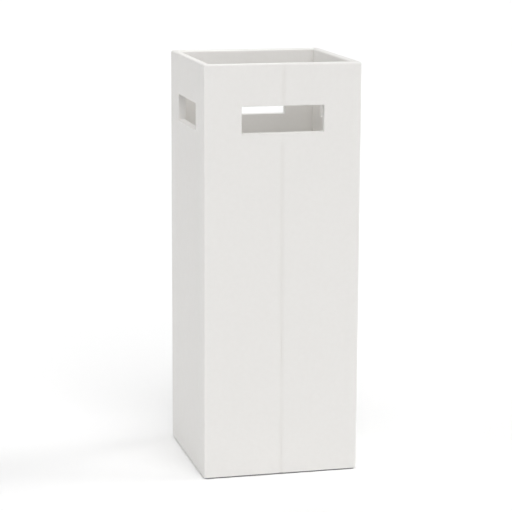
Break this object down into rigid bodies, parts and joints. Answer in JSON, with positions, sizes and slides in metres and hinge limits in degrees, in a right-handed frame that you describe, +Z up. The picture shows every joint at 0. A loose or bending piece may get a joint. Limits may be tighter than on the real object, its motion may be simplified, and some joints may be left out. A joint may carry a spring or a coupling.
{
  "type": "umbrella stand",
  "caption": "Tall square umbrella stand in white leather over board, open at the top, with a hand slot in each wall and a lift-out drip tray.",
  "frame": {"origin": "middle of the underside, where the stand meets the floor", "axes": "+Z up; -Y out of the front face, which has a seam; +X to the right as seen from the front"},
  "size_m": [0.21, 0.21, 0.55],
  "materials": {
    "white_leather": "smooth, fine-grained, semi-matte",
    "white_lining": "smooth, matte",
    "fibreboard": "raw medium-density fibreboard",
    "grey_felt": "pressed wool felt",
    "tray_plastic": "fine moulded texture",
    "zinc_steel": "zinc plated"
  },
  "bodies": {
    "stand": {"wall_front": "fibreboard", "wall_back": "fibreboard", "wall_left": "fibreboard", "wall_right": "fibreboard", "base_board": "fibreboard", "cover_left": "white_leather", "cover_right": "white_leather", "slot_trim_front": "white_leather", "slot_trim_back": "white_leather", "slot_trim_left": "white_leather", "slot_trim_right": "white_leather", "lining_front": "white_lining", "lining_back": "white_lining", "lining_left": "white_lining", "lining_right": "white_lining", "lining_floor": "white_lining", "felt_base": "grey_felt", "screw_front_left": "zinc_steel", "screw_front_right": "zinc_steel", "screw_right_front": "zinc_steel", "screw_right_back": "zinc_steel", "screw_back_right": "zinc_steel", "screw_back_left": "zinc_steel", "screw_left_back": "zinc_steel", "screw_left_front": "zinc_steel"},
    "drip_tray": {"drip_tray": "tray_plastic"}
  },
  "joints": [
    {"name": "tray_lift", "type": "slide", "parent": "stand", "child": "drip_tray", "axis": [0, 0, 1], "range_m": [0, 0.56]}
  ]
}
